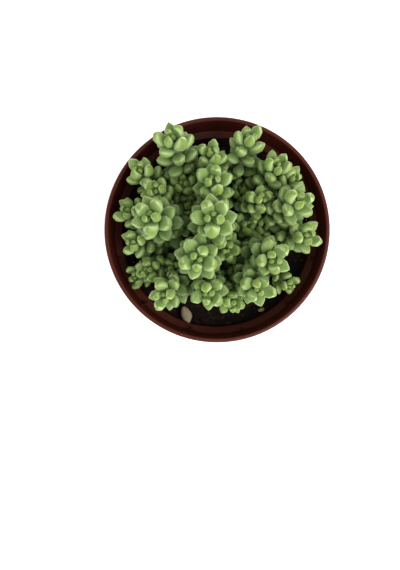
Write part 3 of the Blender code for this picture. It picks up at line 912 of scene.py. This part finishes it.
    # a dark speck in one cell of fourteen
    specks = addNode(tree, "ShaderNodeTexVoronoi", {"Vector": place, "Scale": 1 / (3.03 * mm)})
    speckChance = addNode(tree, "ShaderNodeSeparateColor", {0: specks.outputs["Color"]})
    speckDot = addNode(
        tree, "ShaderNodeMapRange",
        {"Value": specks.outputs["Distance"], "From Min": 0.10, "From Max": 0.16, "To Min": 1, "To Max": 0},
    )
    speckRare = addNode(
        tree, "ShaderNodeMath", {0: speckChance.outputs[0], 1: 0.93}, operation="GREATER_THAN"
    )
    speckMask = addNode(
        tree, "ShaderNodeMath", {0: speckDot.outputs[0], 1: speckRare.outputs[0]}, operation="MULTIPLY"
    )
    speckSoft = addNode(tree, "ShaderNodeMath", {0: speckMask.outputs[0], 1: 0.6}, operation="MULTIPLY")
    colour = addNode(
        tree, "ShaderNodeMix",
        {"Factor": speckSoft.outputs[0], 6: bloomed.outputs[2], 7: linear(waxySkin["speck"])},
        data_type="RGBA",
    )
    rough = addNode(
        tree, "ShaderNodeMapRange", {"Value": powder.outputs["Fac"], "To Min": 0.42, "To Max": 0.62}
    )
    bump = addNode(
        tree, "ShaderNodeBump", {"Height": wobble.outputs["Fac"], "Strength": 0.15, "Distance": 0.3 * mm}
    )
    setShader(
        tree, shader, base_color=colour.outputs[2], roughness=rough.outputs[0], normal=bump.outputs[0],
        subsurface_weight=0.12, subsurface_radius=(0.8, 1.0, 0.4), subsurface_scale=1.6 * mm,
        sheen_weight=0.5, sheen_roughness=0.35, sheen_tint=linear(waxySkin["sheen"]), ior=1.42,
    )
    return material


def stemMaterial():
    # succulent stem: smooth pale green skin, browner and corkier towards the root
    material, tree, shader = newMaterial("succulentStemSkin")
    place = addNode(tree, "ShaderNodeTexCoord").outputs["Object"]
    height = addNode(tree, "ShaderNodeSeparateXYZ", {0: place}).outputs["Z"]
    corkTop = pot["height"] + stem["corkEnd"]
    corky = addNode(
        tree, "ShaderNodeMapRange",
        {"Value": height, "From Min": soil["edgeZ"], "From Max": corkTop, "To Min": 0.9, "To Max": 0.0},
    )
    mottle = addNode(tree, "ShaderNodeTexNoise", {"Vector": place, "Scale": 1 / (1.11 * mm), "Detail": 4})
    green = addNode(
        tree, "ShaderNodeMix",
        {"Factor": mottle.outputs["Fac"], 6: linear(stem["skin"]), 7: linear(stem["paleSkin"])},
        data_type="RGBA",
    )
    colour = addNode(
        tree, "ShaderNodeMix", {"Factor": corky.outputs[0], 6: green.outputs[2], 7: linear(stem["cork"])},
        data_type="RGBA",
    )
    bump = addNode(
        tree, "ShaderNodeBump", {"Height": mottle.outputs["Fac"], "Strength": 0.4, "Distance": 0.2 * mm}
    )
    setShader(tree, shader, base_color=colour.outputs[2], roughness=0.6, normal=bump.outputs[0])
    return material


def stemShape(shoot):
    # a chain of rings from the root to the tip, closed at both ends
    shape = bmesh.new()
    distances = [shoot.length * (1 - ring / stem["rings"]) for ring in range(stem["rings"] + 1)]
    places = [(shoot.foot, up, stem["footRadius"])]
    places += [(*shoot.place(below), shoot.radius(below)) for below in distances]
    last = len(places) - 1
    ringEdges = []
    for number, (point, along, radius) in enumerate(places):
        turn = along.to_track_quat("Z", "Y").to_matrix().to_4x4()
        ring = bmesh.ops.create_circle(
            shape, cap_ends=number in (0, last), segments=stem["sides"], radius=radius,
            matrix=Matrix.Translation(point) @ turn,
        )["verts"]
        ringEdges.append(list(dict.fromkeys(edge for vert in ring for edge in vert.link_edges)))
    for lower, upper in zip(ringEdges, ringEdges[1:]):
        bmesh.ops.bridge_loops(shape, edges=lower + upper)
    bmesh.ops.recalc_face_normals(shape, faces=shape.faces)
    return meshOf(shape, shoot.name)


def makeShoots():
    shoots = [Shoot(number, *row) for number, row in enumerate(shootRows, start=1)]
    every = [item for shoot in shoots for item in leavesOf(shoot)]
    spreadLeaves(every)
    print("leaves spread,", len(every))
    leafSkin, stemSkin = leafMaterial(), stemMaterial()
    chance = random.Random(leaf["seed"])
    for shoot in shoots:
        shape = bmesh.new()
        shape.loops.layers.uv.new("leafSkin")
        toneLayer = shape.verts.layers.float.new("tone")
        ageLayer = shape.verts.layers.float.new("age")
        shootTone = chance.uniform(*leaf["toneSpread"])
        for item in [one for one in every if one.shoot is shoot]:
            length = item.length * chance.uniform(*leaf["lengthSpread"])
            matrix = leafMatrix(item.base, item.toward, item.inner, length)
            tone = shootTone + chance.uniform(*leaf["toneSpread"])
            age = min(1, item.belowTip / leaf["fullAge"])
            bend = item.bend * chance.uniform(*leaf["bendSpread"])
            plump = chance.uniform(*leaf["plumpSpread"])
            for vert in growLeaf(shape, matrix, bend, item.curl, plump):
                vert[toneLayer] = tone
                vert[ageLayer] = age
        bmesh.ops.recalc_face_normals(shape, faces=shape.faces)
        finishPiece(shoot.name + "_leaves", meshOf(shape, shoot.name), leafSkin, shoot.name)
        finishPiece(shoot.name + "_stem", stemShape(shoot), stemSkin, shoot.name)
    print("shoots made,", len(shoots))


makeShoots()


# dropped leaves: each row is x, y, heading of the tip and length, in millimetres and degrees

dropped = {
    "rows": ((-19.5, -53.5, -70, 12.0), (29.5, -50.5, 20, 5.0)),
    "bend": math.radians(20),
    "plump": 0.75,             # they have shrunk
    "green": "#8E8A66",
    "straw": "#A08D78",
}


def dryLeafMaterial():
    # a shed leaf drying out: translucent straw skin over flesh that is still a little green
    material, tree, shader = newMaterial("dryingStonecropLeaf")
    place = addNode(tree, "ShaderNodeTexCoord").outputs["Object"]
    patch = addNode(tree, "ShaderNodeTexNoise", {"Vector": place, "Scale": 1 / (3.85 * mm), "Detail": 4})
    mask = addNode(
        tree, "ShaderNodeMapRange", {"Value": patch.outputs["Fac"], "From Min": 0.35, "From Max": 0.65}
    )
    colour = addNode(
        tree, "ShaderNodeMix",
        {"Factor": mask.outputs[0], 6: linear(dropped["green"]), 7: linear(dropped["straw"])},
        data_type="RGBA",
    )
    wrinkle = addNode(
        tree, "ShaderNodeTexNoise",
        {"Vector": place, "Scale": 1 / (1.11 * mm), "Detail": 3, "Distortion": 1.5},
    )
    bump = addNode(
        tree, "ShaderNodeBump", {"Height": wrinkle.outputs["Fac"], "Strength": 0.6, "Distance": 0.3 * mm}
    )
    setShader(
        tree, shader, base_color=colour.outputs[2], roughness=0.7, normal=bump.outputs[0],
        subsurface_weight=0.15, subsurface_radius=(1.0, 0.8, 0.5), subsurface_scale=1.2 * mm,
    )
    return material


def makeDroppedLeaves():
    skin = dryLeafMaterial()
    for number, (x, y, heading, length) in enumerate(dropped["rows"], start=1):
        angle = math.radians(heading)
        toward = Vector((math.cos(angle), math.sin(angle), 0))
        base = Vector((x, y, 0)) * mm - toward * length * mm / 2
        base.z = soilHeight(base.x, base.y) + length * mm * leaf["thickness"] / 2
        shape = bmesh.new()
        shape.loops.layers.uv.new("leafSkin")
        matrix = leafMatrix(base, toward, up, length * mm)
        growLeaf(shape, matrix, dropped["bend"], 0, dropped["plump"])
        bmesh.ops.recalc_face_normals(shape, faces=shape.faces)
        node = f"dropped_leaf_{number}"
        finishPiece(f"dry_leaf_{number}", meshOf(shape, node), skin, node)
    print("dropped leaves made")


makeDroppedLeaves()


# the studio: a white floor, a soft sky that is brightest at the horizon, and one key lamp

studio = {
    "floorSize": 12.0,
    "floorColour": "#F4F3F0",
    "floorFibre": "#F8F7F5",
    "floorGlow": 0.32,
    "light": "#FFFFFF",
    "zenithGlow": 0.4,
    "horizonGlow": 1.4,
    "keyEnergy": 6.0,
    "keySize": 0.6,
    "keyDistance": 1.0,
    "keyAzimuth": -35,
    "keyElevation": 46,
    "cameraPlace": (-10.6 * mm, -34.3 * mm, 390 * mm),
    "cameraLens": 29.0,
    "sensorWidth": 36,
    "nearestSeen": 10 * mm,
}


def paperMaterial():
    # matte white backdrop paper, with the faintest fibre
    material, tree, shader = newMaterial("matteBackdropPaper")
    place = addNode(tree, "ShaderNodeTexCoord").outputs["Object"]
    fibre = addNode(tree, "ShaderNodeTexNoise", {"Vector": place, "Scale": 1 / (3.33 * mm), "Detail": 3})
    colour = addNode(
        tree, "ShaderNodeMix",
        {
            "Factor": fibre.outputs["Fac"],
            6: linear(studio["floorColour"]),
            7: linear(studio["floorFibre"]),
        },
        data_type="RGBA",
    )
    setShader(
        tree, shader, base_color=colour.outputs[2], roughness=0.95,
        emission_color=linear(studio["light"]), emission_strength=studio["floorGlow"],
    )
    return material


def makeFloor():
    shape = bmesh.new()
    bmesh.ops.create_grid(shape, x_segments=8, y_segments=8, size=studio["floorSize"] / 2)
    mesh = meshOf(shape, "floor")
    mesh.materials.append(paperMaterial())
    floor = bpy.data.objects.new("floor", mesh)
    bpy.context.scene.collection.objects.link(floor)


def makeSky():
    world = bpy.data.worlds.new("studio")
    world.use_nodes = True
    tree = world.node_tree
    facing = addNode(tree, "ShaderNodeTexCoord").outputs["Generated"]
    upward = addNode(tree, "ShaderNodeSeparateXYZ", {0: facing}).outputs["Z"]
    glow = addNode(
        tree, "ShaderNodeMapRange",
        {"Value": upward, "To Min": studio["horizonGlow"], "To Max": studio["zenithGlow"]},
    )
    tree.links.new(glow.outputs[0], tree.nodes["Background"].inputs["Strength"])
    tree.nodes["Background"].inputs["Color"].default_value = linear(studio["light"])
    scene = bpy.context.scene
    scene.world = world
    scene.view_settings.view_transform = "Standard"
    scene.view_settings.look = "Medium High Contrast"


def makeKeyLamp():
    # an area lamp that looks at the middle of the pot's rim
    azimuth, elevation = math.radians(studio["keyAzimuth"]), math.radians(studio["keyElevation"])
    rimMiddle = up * pot["height"]
    toKey = Vector((
        math.cos(azimuth) * math.cos(elevation),
        math.sin(azimuth) * math.cos(elevation),
        math.sin(elevation),
    )) * studio["keyDistance"]
    lamp = bpy.data.lights.new("key", "AREA")
    lamp.energy = studio["keyEnergy"]
    lamp.size = studio["keySize"]
    light = bpy.data.objects.new("key", lamp)
    light.location = rimMiddle + toKey
    light.rotation_mode = "QUATERNION"
    light.rotation_quaternion = toKey.to_track_quat("Z", "Y")
    bpy.context.scene.collection.objects.link(light)


def makeCamera():
    # it looks straight down on the plant
    lens = bpy.data.cameras.new("camera")
    lens.lens = studio["cameraLens"]
    lens.sensor_width = studio["sensorWidth"]
    lens.clip_start = studio["nearestSeen"]
    camera = bpy.data.objects.new("camera", lens)
    camera.location = studio["cameraPlace"]
    bpy.context.scene.collection.objects.link(camera)
    bpy.context.scene.camera = camera


makeFloor()
makeSky()
makeKeyLamp()
makeCamera()
print("studio made")
